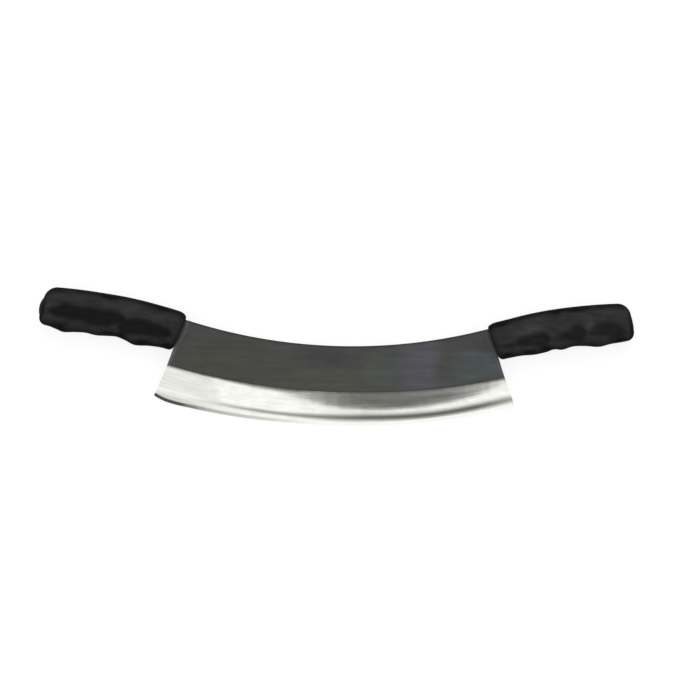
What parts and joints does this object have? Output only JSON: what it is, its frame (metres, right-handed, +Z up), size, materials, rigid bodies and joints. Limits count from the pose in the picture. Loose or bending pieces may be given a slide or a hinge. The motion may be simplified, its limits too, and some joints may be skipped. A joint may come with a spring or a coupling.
{
  "type": "two-handled mincing knife",
  "caption": "Curved steel mincing blade with a black moulded grip at each end, rocked with both hands to chop food.",
  "frame": {"origin": "bottom centre of the knife's box, on the surface that the knife lies on, at the middle of its length", "axes": "+X along the knife towards the right grip, +Y from the cutting edge towards the spine and the grips, +Z up from the surface. The knife lies on its side as it rests: on the belly of its edge and on both grips, so the plane of its blade leans 8.5 degrees about X."},
  "size_m": [0.5088, 0.1103, 0.0265],
  "materials": {
    "blade_steel": "dark heat-treated plate with a polished band above the cutting edge",
    "grip_plastic": "satin black, fine mould texture"
  },
  "bodies": {
    "root": {"blade": "blade_steel", "left_handle": "grip_plastic", "right_handle": "grip_plastic"}
  },
  "joints": []
}
